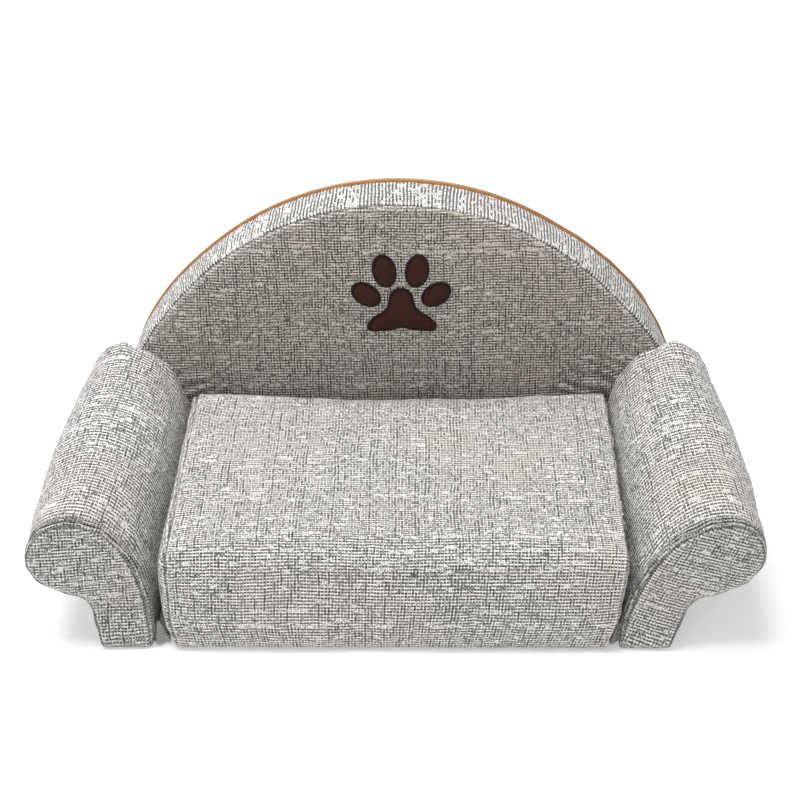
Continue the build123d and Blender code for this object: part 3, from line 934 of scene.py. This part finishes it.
# Slanting folds at the foot of its front, where it meets the arms
for side, size in ((1, 2.6 * MM), (-1, 1.4 * MM)):
    spot = np.exp(-(((across_face * side - 0.235) / 0.055) ** 2 + ((up_face - 0.085) / 0.04) ** 2))
    slant = (up_face + 0.55 * across_face * side) / (17 * MM) + 0.7 * lumps(co, 30 * MM, 44)
    fold = np.sin(2 * math.pi * slant) * spot * smoothstep(9 * MM, 3 * MM, depth)
    co += out * (size * fold)[:, None]
set_coords(back, co)
pinch(back, 1.5 * MM, 0.6 * MM, 7)
back_gusset, back_front, back_rear = split_panels(
    back, ("backrest_gusset", "backrest_front_panel", "backrest_rear_panel")
)
for piece, cloth, nodes in (
    (back_front, shaded_back_panel_cloth, ("back_front_panel", "back_front_foam")),
    (back_gusset, gusset_cloth, ("back_gusset",)),
    (back_rear, rear_cloth, ("back_rear_panel", "back_rear_foam")),
):
    finish_piece(piece, cloth, nodes)


# ---- Arms ------------------------------------------------------------------------


sole_points, scroll_points = 8, 82


def arm_rings(side):
    """The arm's outlines at its front and rear ends, with points that match, counterclockwise."""
    rings = []
    for node, direction in (
        ("right_arm_front_panel", Vector((0, -1, 0))),
        ("right_arm_rear_panel", Vector(tuple(-back_out))),
    ):
        line = counterclockwise(outline_of(node, direction), (0, 2))
        floor = line[:, 2].min() + 0.5 * MM
        feet = np.nonzero(line[:, 2] < floor)[0]
        inner = feet[np.argmin(line[feet, 0])]
        line = np.roll(line, -inner, 0)
        feet = np.nonzero(line[:, 2] < floor)[0]
        heel = feet[np.argmax(line[feet, 0])]
        rings.append((line[: heel + 1], np.vstack([line[heel:], line[:1]])))
    made = []
    for sole, scroll in rings:
        made.append(np.vstack([resample(sole, sole_points), resample(scroll, scroll_points)[1:-1]]))
    return made if side > 0 else [ring[::-1] * (-1, 1, 1) for ring in made]


def shrink_ring(ring, amount, keep_below):
    """An end outline drawn in by an amount, except along its sole."""
    flat = ring[:, (0, 2)]
    move = inward(flat) * amount
    move[ring[:, 2] < keep_below] = 0
    return ring + np.stack([move[:, 0], np.zeros(len(ring)), move[:, 1]], 1)


# In front both feet have shifted to the left and both scrolls to the right
arm_foot_shift = -5.5 * MM
arm_lean = {1: 0.12, -1: 0.085}  # at the right and at the left
arm_front_tilt = {1: -17, -1: 4}  # of the front panels' threads, in degrees
arm_fullness = 6 * MM
arm_front_hang, foot_sag = 6 * MM, 4.5 * MM
corner_bulge, corner_rise = 9 * MM, 3 * MM
arm_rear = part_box("right_arm_wrap")[1].y
front_binding = node_points("base_edge_binding")
base_side = front_binding[front_binding[:, 1] < 0][:, 0].max()
arm_faces = {}
for side, word in ((1, "right"), (-1, "left")):
    near, far = arm_rings(side)
    sole = near[:, 2].min() + 1 * MM
    near, far = shrink_ring(near, 1.5 * MM, sole), shrink_ring(far, 1.5 * MM, sole)
    near += (0, 1.5 * MM, 0)
    far += (0, -1 * MM, 0)
    flat_out = -inward(near[:, (0, 2)])
    outer = smoothstep(-0.5, 0.6, flat_out[:, 0] * side + 0.4 * flat_out[:, 1])
    belly = np.stack([flat_out[:, 0], 0 * outer, flat_out[:, 1]], 1)
    belly *= (2 * MM + arm_fullness * outer)[:, None]
    belly[near[:, 2] < sole] = 0
    length = np.linalg.norm(far - near, axis=1).mean()
    plane, tilts = ((1, 0, 0), (0, 0, 1)), (arm_front_tilt[side], 0)
    arm, gap = cover(f"{word}_arm", near, far, plane, stations_for(length), False, tilts, belly)
    co = coords(arm)
    frontness = (arm_rear - co[:, 1]) / length
    co[:, 0] += (arm_foot_shift + arm_lean[side] * co[:, 2]) * frontness
    lower_front = smoothstep(0.96, 1.0, frontness) * smoothstep(60 * MM, 5 * MM, co[:, 2])
    co[:, 1] -= arm_front_hang * lower_front
    set_coords(arm, co)
    pins = np.where(co[:, 2] < sole, 0.9, np.where(gap < 0.5 * MM, 0.8, 0.0))
    inflate(arm, pins, puff_cap["arm"], 0.008)
    refine(arm)
    co, out = coords(arm), normals(arm)
    soft = lumps(co * (1, 0.5, 1), 60 * MM, 8 + side) * 1.4 + lumps(co, 22 * MM, 9 + side) * 0.5
    keep = smoothstep(sole, sole + 15 * MM, co[:, 2])
    co += out * (soft * MM * keep)[:, None]
    # The outer rear corner bulges past the backrest's front, where nothing holds it
    local = co - back_centre
    beyond = np.hypot(local[:, 0], local @ back_up) - back_radius
    bulge = smoothstep(2 * MM, 26 * MM, beyond) * smoothstep(arm_rear - 40 * MM, arm_rear, co[:, 1])
    co[:, 1] += corner_bulge * bulge * smoothstep(20 * MM, 90 * MM, co[:, 2])
    co[:, 2] += corner_rise * bulge
    # Past the edges of the base the foot sags almost to the floor
    past = np.maximum(
        smoothstep(base_front + 1 * MM, base_front - 4 * MM, co[:, 1]),
        smoothstep(base_side + 1 * MM, base_side + 5 * MM, np.abs(co[:, 0])),
    )
    co[:, 2] -= foot_sag * past * smoothstep(22 * MM, sole, co[:, 2])
    set_coords(arm, co)
    pinch(arm, 1.4 * MM, 0.7 * MM, 12 + side)
    wrap, face, rear = split_panels(
        arm, (f"{word}_arm_wrap_cloth", f"{word}_arm_front_face", f"{word}_arm_rear_face")
    )
    arm_faces[word] = face, wrap
    for piece, cloth, ends in (
        (wrap, arm_cloth, ("wrap", "core")),
        (face, shaded_arm_face_cloth, ("front_panel",)),
        (rear, rear_cloth, ("rear_panel",)),
    ):
        finish_piece(piece, cloth, [f"{word}_arm_{end}" for end in ends])


# ---- Raised seams of the arms' front ends --------------------------------------------


def ridge_profile(half, rise):
    """A flattened round section, half buried in the cloth."""
    turn = np.linspace(0, 2 * math.pi, 10, endpoint=False)
    return [(half * math.cos(t), rise * math.sin(t)) for t in turn]


def surface_tree(obj):
    return BVHTree.FromPolygons(
        [v.co for v in obj.data.vertices], [p.vertices for p in obj.data.polygons]
    )


for word, (face, wrap) in arm_faces.items():
    side = 1 if word == "right" else -1
    rim_points = counterclockwise(coords(face)[border(face)], (0, 2))
    rim_points = resample(rim_points, 150, True)
    out = -inward(rim_points[:, (0, 2)])
    out = np.stack([out[:, 0], 0 * out[:, 0], out[:, 1]], 1)
    # Strong up the inner side and over the top, gone under the scroll
    shown = smoothstep(-0.25, 0.45, out[:, 2] - 0.8 * out[:, 0] * side)
    shown *= smoothstep(2 * MM, 16 * MM, rim_points[:, 2])
    wobble = 0.4 * MM * lumps(rim_points, 12 * MM, 20 + side)
    forward = np.array((0.0, -1.0, 0.0))
    tree = surface_tree(wrap)
    # The thin near-black strips between the ridges are painted shade in the grooves.
    for name, back_by, half, rise, tilt, cloth in (
        ("fold", 1.4 * MM, 2.3 * MM, 2.3 * MM, 0.6, seam_cloth),
        ("fold_groove_shade", 4.0 * MM, 0.55 * MM, 0.7 * MM, 0.2, groove_shade_strip),
        ("welt", 6.4 * MM, 2.3 * MM, 2.3 * MM, 0.0, seam_cloth),
        ("welt_groove_shade", 8.9 * MM, 0.55 * MM, 0.6 * MM, 0.0, groove_shade_strip),
        ("tuck", 11.2 * MM, 2.2 * MM, 1.6 * MM, 0.0, seam_cloth),
        ("tuck_groove_shade", 13.6 * MM, 0.5 * MM, 0.5 * MM, 0.0, groove_shade_strip),
    ):
        places = []
        for p, o, w in zip(rim_points, out, wobble):
            over = Vector(p + o * 15 * MM - (0, -back_by, 0))
            hit = tree.ray_cast(over, Vector(-o), 22 * MM)[0]
            places.append((np.array(hit) if hit else p) + o * (w + 0.3 * MM))
        across = forward * math.cos(tilt) - out * math.sin(tilt)
        height = out * math.cos(tilt) + forward * math.sin(tilt)
        name = f"{word}_arm_seam_{name}"
        section = ridge_profile(half, rise)
        ridge = sweep(name, np.array(places), across, height, section, True, 0.1 + 0.9 * shown)
        refine(ridge)
        finish_piece(ridge, cloth)


# ---- Base and label ------------------------------------------------------------------

ground = outline_of("base_grip_sheet", Vector((0, 0, -1)))[:, :2]
ground = counterclockwise(ground)
ground = resample(ground, int(lengths(ground)[-1] / (4 * MM)), True)
base_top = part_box("base_liner")[1].z
grip_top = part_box("base_grip_sheet")[1].z


def base_sheet(name, node, inset, level, wave, seed):
    """A thin sheet over the base's whole outline, with a slight wave."""
    edge = ground + inward(ground) * inset
    spots, triangles = fill_outline(edge, 9 * MM, (3 * MM,))
    every = np.vstack([edge, spots])
    verts = np.column_stack([every, np.full(len(every), level)])
    verts[:, 2] += wave * lumps(verts, 30 * MM, seed)
    return new_object(name, verts, triangles)


liner = base_sheet("base_liner_cloth", "base_liner", 2 * MM, base_top - 0.3 * MM, 0.3 * MM, 51)
finish_piece(liner, base_cloth, ("base_liner",))
grip = base_sheet("base_grip_cloth", "base_grip_sheet", 2 * MM, grip_top - 0.2 * MM, 0.1 * MM, 52)
grip.data.flip_normals()
finish_piece(grip, grip_finish, ("base_grip_sheet",))

# Rubber dots stand out under the grip sheet
dot_verts, dot_faces = [], []
pitch = 14 * MM
across_dots = np.arange(ground[:, 0].min() + pitch, ground[:, 0].max() - pitch / 2, pitch)
along_dots = np.arange(ground[:, 1].min() + pitch, ground[:, 1].max() - pitch / 2, pitch)
spots = np.array([(x, y) for x in across_dots for y in along_dots])
spots = spots[inside(spots, ground)]
spots = spots[edge_distance(spots, ground) > 8 * MM]
dot_sides = 8
turns = np.arange(dot_sides) * 2 * math.pi / dot_sides
dot_rings = ((2.2 * MM, 1.0 * MM), (1.9 * MM, 0.35 * MM), (1.0 * MM, 0.05 * MM))  # radius, height
for x, y in spots:
    rings = [[(x + r * math.cos(t), y + r * math.sin(t), z) for t in turns] for r, z in dot_rings]
    add_tube(dot_verts, dot_faces, rings)
    last = len(dot_verts) - 1
    dot_faces.append([last - k for k in range(dot_sides)])
dots = new_object("base_grip_dots", dot_verts, dot_faces)
finish_piece(dots, grip_finish)

# The rolled hem around the base, lightly gathered
hem_line = ground + inward(ground) * 2.5 * MM
places = np.column_stack([hem_line, np.full(len(hem_line), (base_top + 0.2 * MM) / 2)])
across = np.column_stack([-inward(ground), 0 * hem_line[:, 0]])
gathers = 0.93 + 0.07 * lumps(places, 6 * MM, 53)
section = ridge_profile(2.5 * MM, (base_top - 0.3 * MM) / 2)
hem = sweep("base_rolled_hem", places, across, (0, 0, 1), section, True, gathers)
refine(hem)
finish_piece(hem, seam_cloth, ("base_edge_binding",))

# Gathered corners of the base's cover fill the gaps between the seat and the arms' feet
for word, foot, head, widths in (
    ("left", -224.5 * MM, -226 * MM, (7.5 * MM, 3.5 * MM)),
    ("right", 217 * MM, 222.5 * MM, (5 * MM, 2.4 * MM)),
):
    rise = np.linspace(0, 1, 14)
    places = np.column_stack(
        [foot + (head - foot) * rise, base_front - 6 * MM - 2 * MM * rise, 1.5 * MM + 25 * MM * rise]
    )
    turns = np.linspace(0, 2 * math.pi, 22, endpoint=False)
    lobes = 1 + 0.28 * np.sin(4 * turns + 0.7) + 0.12 * np.sin(7 * turns)
    section = list(zip(lobes * np.cos(turns), lobes * np.sin(turns)))
    size = widths[0] + (widths[1] - widths[0]) * rise
    size *= 1 + 0.16 * lumps(places, 6 * MM, 54 + len(word))
    size *= np.sqrt(np.maximum(0.02, 1 - rise**3))
    tuck = sweep(f"{word}_corner_tuck", places, (1, 0, 0), (0, -1, 0), section, False, size)
    refine(tuck)
    co, out = coords(tuck), normals(tuck)
    co += out * (1.5 * MM * lumps(co * (1, 1, 0.5), 5 * MM, 55))[:, None]
    co[:, 2] = np.maximum(co[:, 2], 0.3 * MM)
    set_coords(tuck, co)
    finish_piece(tuck, seat_cloth)

# The folded care label hangs free from its stitched top edge
rear_tree = surface_tree(back_rear)
low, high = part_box("care_label")
rows, columns = 12, 9
layer_points = rows * columns
label_verts, label_faces = [], []
for layer in (0, 1):
    for up in np.linspace(0, 1, rows):
        for x in np.linspace(low.x, high.x, columns):
            z = low.z + (high.z - low.z) * up
            hit = rear_tree.ray_cast(Vector((x, high.y + 60 * MM, z)), Vector((0, -1, 0)))[0]
            free = 1 - up
            stand = 0.5 * MM + 0.6 * MM * layer + free**2 * (3.5 + 1.2 * layer) * MM
            stand += 0.6 * MM * free * math.sin((x - low.x) / (high.x - low.x) * 5)
            label_verts.append((x, hit.y + stand, z))
    for j in range(rows - 1):
        for i in range(columns - 1):
            a = layer * layer_points + j * columns + i
            quad = (a, a + 1, a + columns + 1, a + columns)
            label_faces.append(quad if layer == 0 else quad[::-1])
for i in range(columns - 1):
    label_faces.append((i, layer_points + i, layer_points + i + 1, i + 1))
label = new_object("care_label_tab", label_verts, label_faces)
refine(label)
finish_piece(label, label_finish, ("care_label",))


# ---- Zips --------------------------------------------------------------------------


def zip_teeth(name, places, across, height, width, rise):
    """The two interlocking rows of a coil: short rounded bars across the zip."""
    verts, faces = [], []
    sides = 6
    bar = ((-0.42, 0.55), (-0.3, 1.0), (0.3, 1.0), (0.42, 0.55))  # place across the zip, thickness
    angles = [math.radians(60 * turn + 30) for turn in range(sides)][::-1]
    along = unit(np.gradient(places, axis=0))
    height = np.broadcast_to(height, places.shape)
    for k, (p, t, z) in enumerate(zip(places, along, height)):
        shift = (0.12 if k % 2 else -0.12) * width
        rings = [
            [
                p
                + across * (a * width + shift)
                + t * (0.62 * MM * size * math.cos(angle))
                + z * (rise / 2 * (1 + size * math.sin(angle)))
                for angle in angles
            ]
            for a, size in bar
        ]
        base = len(verts)
        add_tube(verts, faces, rings)
        faces.append(tuple(range(base, base + sides)))
        faces.append(tuple(range(len(verts) - sides, len(verts)))[::-1])
    return new_object(name, verts, faces)


def tape_profile(low, high, rise, lip):
    """A tape's section: flat, with a woven lip along its outer edge on the low side."""
    tops = [(low, 0.5 * lip), (low + 0.4 * MM, lip), (low + 1.2 * MM, lip), (low + 1.8 * MM, rise)]
    return [(high, 0.0), (high, rise)] + tops[::-1] + [(low, 0.0)]


tape_points = np.vstack([node_points(f"back_zip_tape_{end}") for end in ("front", "rear")])
local = tape_points - back_centre
ring = np.hypot(local[:, 0], local @ back_up)
tape_low, tape_rise = ring.min(), ring.max() - ring.min()
turns = np.arctan2(local @ back_up, local[:, 0])
zip_line = -np.array(span("back_zip_coil", back_out))
zip_middle = zip_line.mean() + back_centre @ back_out
coil_points = node_points("back_zip_coil") - back_centre
coil_turns = np.arctan2(coil_points @ back_up, coil_points[:, 0])
coil_ring = np.hypot(coil_points[:, 0], coil_points @ back_up)


tooth_step = 1.35 * MM


def arc_frames(start, end, radius, step):
    """Places along the backrest's zip, with the directions across it and away from the cloth."""
    turn = np.linspace(start, end, int(radius * (end - start) / step))
    places = back_place(radius * np.cos(turn), radius * np.sin(turn), zip_middle + 0 * turn)
    height = unit(places - back_place(0 * turn, 0 * turn, zip_middle + 0 * turn))
    return turn, places, -back_out, height


for end, sign in (("front", -1), ("rear", 1)):
    turn, places, across, height = arc_frames(turns.min(), turns.max(), tape_low, 2.5 * MM)
    wave = lumps(places, 26 * MM, 30 + sign) * smoothstep(1.35, 0.9, turn)
    places = places + height * (0.5 * MM * np.abs(wave))[:, None]
    places += across * (0.5 * MM * wave * sign)[:, None]
    lip = 3.2 * MM if sign < 0 else 1.4 * MM
    profile = tape_profile(-5.6 * MM, -0.3 * MM, tape_rise, lip)
    if sign > 0:
        profile = [(-a, h) for a, h in profile][::-1]
    tape = sweep(f"backrest_zip_tape_{end}", places, across, height, profile)
    finish_piece(tape, tan_tape, (f"back_zip_tape_{end}",))
# The front tape's woven edge stands up past the seam, more and in waves at the right
turn, places, across, height = arc_frames(turns.min(), turns.max(), tape_low, 2.5 * MM)
loose = smoothstep(1.35, 0.6, turn)
rise = 1.1 + 0.3 * loose + 0.3 * loose * lumps(places, 22 * MM, 33)
stand = gusset_fullness(turn) + 1 * MM * loose * lumps(places, 35 * MM, 34)
places = places + height * stand[:, None] - across * 5.2 * MM
section = [(0.5, -6), (0.5, 2.8), (0.2, 3.2), (-0.2, 3.2), (-0.5, 2.8), (-0.5, -6)]
section = [(a * MM, h * MM) for a, h in section]
edge_strip = sweep("backrest_zip_tape_edge", places, across, height, section, False, rise)
finish_piece(edge_strip, tan_edge)
coil_ends = coil_turns.min(), coil_turns.max()
_, places, across, height = arc_frames(*coil_ends, coil_ring.min(), tooth_step)
coil_rise = coil_ring.max() - coil_ring.min()
teeth = zip_teeth("backrest_zip_teeth", places, across, height, 3 * MM, coil_rise)
finish_piece(teeth, tan_coil, ("back_zip_coil",))

low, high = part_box("cushion_zip_tape")
middle = (low.z + high.z) / 2
line = np.arange(low.x, high.x, 4 * MM)
places = np.stack([line, 0 * line + low.y, 0 * line + middle], 1)
across, height = np.array((0.0, 0.0, 1.0)), np.array((0.0, 1.0, 0.0))
half, rise = (high.z - low.z) / 2, high.y - low.y
for end, sign in (("lower", -1), ("upper", 1)):
    profile = tape_profile(-half, -0.3 * MM, rise, rise)
    if sign > 0:
        profile = [(-a, h) for a, h in profile][::-1]
    tape = sweep(f"seat_zip_tape_{end}", places, across, height, profile[::-1])
    nodes = ("cushion_zip_tape",) if sign > 0 else ()
    finish_piece(tape, grey_tape, nodes, "seat_cushion")
low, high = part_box("cushion_zip_coil")
line = np.arange(low.x + 0.7 * MM, high.x, tooth_step)
places = np.stack([line, 0 * line + low.y, 0 * line + middle], 1)
teeth = zip_teeth("seat_zip_teeth", places, across, height, high.z - low.z, high.y - low.y)
finish_piece(teeth, grey_coil, ("cushion_zip_coil",), "seat_cushion")


# ---- Paw motif ---------------------------------------------------------------------

panel_tree = surface_tree(back_front)


def on_panel(across, up, rise):
    """Points on the backrest's puffed front panel, raised off it."""
    made = []
    for x, y, h in zip(across, up, np.broadcast_to(rise, np.shape(across))):
        start = back_place(x, y, -60 * MM)
        hit = panel_tree.ray_cast(Vector(start), Vector(-back_out))[0]
        made.append(np.array(hit) + back_out * h)
    return np.array(made)


stitch_verts, stitch_faces = [], []
stitch_steps = np.array((-0.9, -0.1, 0.9, 1.8, 2.3)) * MM  # out from the patch's edge
stitch_arch = np.array((0.5, 1.25, 1.4, 0.95, 0.1)) * MM  # off the panel, at the same steps
toes = [f"paw_toe_{place}" for place in ("outer_left", "inner_left", "inner_right", "outer_right")]
for node in ("paw_pad", *toes):
    line = outline_of(node, Vector(back_out)) - back_centre
    flat = counterclockwise(np.stack([line[:, 0], line @ back_up], 1))
    around = resample(flat, int(lengths(flat)[-1] / (1.6 * MM)), True)
    spots, triangles = fill_outline(around, 2.2 * MM, (0.7 * MM, 1.6 * MM))
    every = np.vstack([around, spots])
    gap = np.concatenate([np.zeros(len(around)), edge_distance(spots, around)])
    rise = 0.5 * MM + 1.5 * MM * (1 - np.exp(-gap / (4 * MM)))
    verts = on_panel(every[:, 0], every[:, 1], rise)
    verts += back_out * (0.25 * MM * lumps(verts, 9 * MM, 40))[:, None]
    patch = new_object(f"{node}_applique", verts, triangles)
    refine(patch)
    finish_piece(patch, felt, (node,))
    # Satin stitches lie side by side across the edge
    count = int(lengths(around)[-1] / (0.46 * MM))
    edge = resample(around, count, True)
    out = -inward(edge)
    slant = np.stack([-out[:, 1], out[:, 0]], 1)
    jitter = 0.12 * MM * np.sin(np.arange(count) * 2.4)
    for k in range(count):
        steps = stitch_steps + jitter[k] * np.array((1, 0, 0, 0, -1))
        path = edge[k] + out[k] * steps[:, None] + slant[k] * (0.15 * steps[:, None])
        spine = on_panel(path[:, 0], path[:, 1], stitch_arch)
        side_way = slant[k][0] * np.array((1.0, 0, 0)) + slant[k][1] * back_up
        rings = []
        for place, size in zip(spine, (0.5, 1, 1, 1, 0.5)):
            turns = [math.radians(72 * angle) for angle in range(5)]
            ways = [side_way * math.cos(turn) + back_out * math.sin(turn) for turn in turns]
            rings.append([place + way * 0.27 * MM * size for way in ways])
        add_tube(stitch_verts, stitch_faces, rings)
stitches = new_object("paw_satin_stitches", stitch_verts, stitch_faces)
finish_piece(stitches, floss, ("paw_edge_stitching",))


# ---- Floor, light and camera -------------------------------------------------------

floor = new_object("floor", [(-6, -6, 0), (6, -6, 0), (6, 8, 0), (-6, 8, 0)], [(0, 1, 2, 3)])
floor.location.z = -0.3 * MM
paper = Shader("paper", 0.8, Emission_Color=(1, 1, 1, 1), Emission_Strength=0.26)
grain = paper.grain(900.0, 2.0)
floor.data.materials.append(paper.finish(paper.mix(grain, (0.86, 0.86, 0.86), (0.9, 0.9, 0.9))))

world = bpy.data.worlds.new("studio")
bpy.context.scene.world = world
world.use_nodes = True
world.node_tree.nodes["Background"].inputs[0].default_value = (1, 1, 1, 1)
world.node_tree.nodes["Background"].inputs[1].default_value = 0.55


def area_light(name, place, target, size, power):
    light = bpy.data.lights.new(name, "AREA")
    light.size = size
    light.energy = power
    obj = linked(name, light)
    obj.location = place
    obj.rotation_euler = (Vector(target) - Vector(place)).to_track_quat("-Z", "Y").to_euler()


area_light("top_light", (-0.45, 0.1, 2.15), (0, 0.05, 0), 1.5, 50)
area_light("front_fill", (-0.6, -2.2, 1.2), (0, 0, 0.1), 1.4, 5.5)

pitch, yaw, roll = (math.radians(a) for a in (31, -2.3, -1.31))
ahead = Vector((math.sin(yaw) * math.cos(pitch), math.cos(yaw) * math.cos(pitch), -math.sin(pitch)))
level = Vector((math.cos(yaw), -math.sin(yaw), 0))
upright = level.cross(ahead)
right = level * math.cos(roll) + upright * math.sin(roll)
above = upright * math.cos(roll) - level * math.sin(roll)
camera = linked("camera", bpy.data.cameras.new("camera"))
camera.data.sensor_width = 36
camera.data.lens = 85.5
turn = Matrix((right, above, -ahead)).transposed().to_4x4()
aside, before_seat, up = 0.0744, 1.4644, 1.1618
camera.matrix_world = Matrix.Translation((aside, seat_front - before_seat, up)) @ turn
bpy.context.scene.camera = camera
bpy.context.scene.view_settings.view_transform = "Standard"
